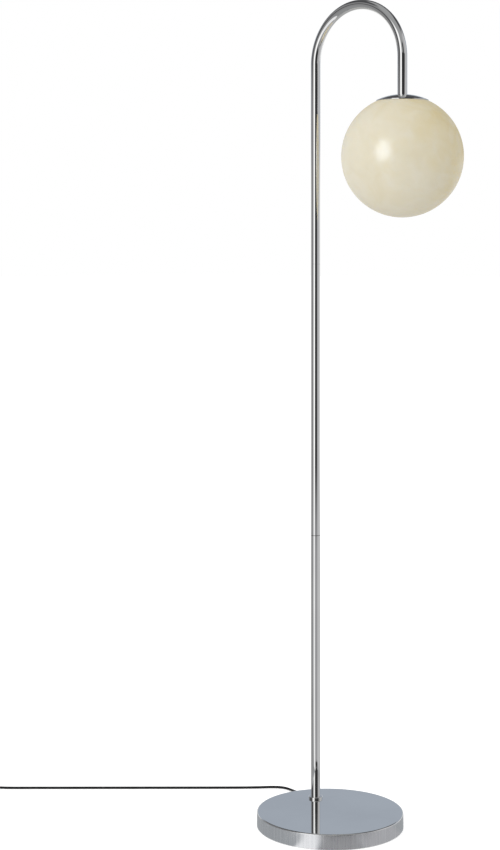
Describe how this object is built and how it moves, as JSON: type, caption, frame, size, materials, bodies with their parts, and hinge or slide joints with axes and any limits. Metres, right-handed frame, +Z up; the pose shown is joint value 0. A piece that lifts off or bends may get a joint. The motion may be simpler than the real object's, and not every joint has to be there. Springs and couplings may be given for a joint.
{
  "type": "floor lamp",
  "caption": "Floor lamp: an arched chrome pole on a round weighted base, with an ivory opal glass globe hanging from the arch under a flush chrome cap, and a lead with foot switch and plug.",
  "frame": {"origin": "middle of the round base's underside, on the floor", "axes": "+Z up, +X the way the arch reaches from the pole to the globe, +Y by the right-hand rule"},
  "size_m": [0.9541, 0.4997, 1.3795],
  "materials": {
    "chrome": "polished chrome plate",
    "cast_weight": "rough casting, painted black",
    "felt": "felt",
    "zinc_steel": "zinc-plated",
    "spring_steel": "bright spring steel",
    "black_resin": "moulded, half gloss",
    "black_button": "moulded, half gloss",
    "white_ceramic": "white insulating moulding",
    "brass": "plain",
    "solder": "dull",
    "bulb_metal": "bright pressed sheet",
    "frosted_glass": "inside frosted",
    "opal_glass": "glossy ivory opal glass, faintly marbled",
    "lead_black": "smooth sheath",
    "soft_black": "soft moulding",
    "nickel": "nickel-plated brass"
  },
  "bodies": {
    "lamp": {"base_cover": "chrome", "foot_collar": "chrome", "lower_pole": "chrome", "middle_pole": "chrome", "upper_pole": "chrome", "shade_cap": "chrome", "base_weight": "cast_weight", "base_pad": "felt", "foot_nipple": "zinc_steel", "foot_washer": "zinc_steel", "foot_nut": "zinc_steel", "pole_bushes": "zinc_steel", "joint_nipples": "zinc_steel", "stem_nipple": "zinc_steel", "cap_nut": "zinc_steel", "cap_spacer": "zinc_steel", "glass_spring": "spring_steel", "holder_dome": "black_resin", "holder_shell": "black_resin", "holder_core": "white_ceramic", "screw_sleeve": "brass", "centre_contact": "brass", "inner_lead": "lead_black", "cord_bushing": "soft_black", "cord_run": "lead_black", "cord_link": "lead_black", "cord_coil": "lead_black", "cord_tail": "lead_black", "cord_tie": "soft_black", "switch_base": "black_resin", "switch_cover": "black_resin", "switch_spring": "spring_steel", "switch_block": "white_ceramic", "switch_screws": "zinc_steel", "plug_body": "soft_black", "plug_pins": "nickel"},
    "globe": {"glass_globe": "opal_glass"},
    "bulb": {"bulb_glass": "frosted_glass", "bulb_cap": "bulb_metal", "bulb_tip": "solder"},
    "button": {"switch_button": "black_button"}
  },
  "joints": [
    {"name": "globe_release", "type": "slide", "parent": "lamp", "child": "globe", "axis": [0, 0, -1], "range_m": [0, 0.2], "deforming": ["glass_spring"]},
    {"name": "bulb_unscrew", "type": "hinge", "parent": "lamp", "child": "bulb", "pos_m": [0.12559, 0.03488, 1.16], "axis": [0, 0, -1], "range_deg": [0, 1440]},
    {"name": "switch_press", "type": "slide", "parent": "lamp", "child": "button", "axis": [0, 0, -1], "range_m": [0, 0.003], "stiffness_N_per_m": 900, "springref_m": -0.002, "deforming": ["switch_spring"]}
  ]
}
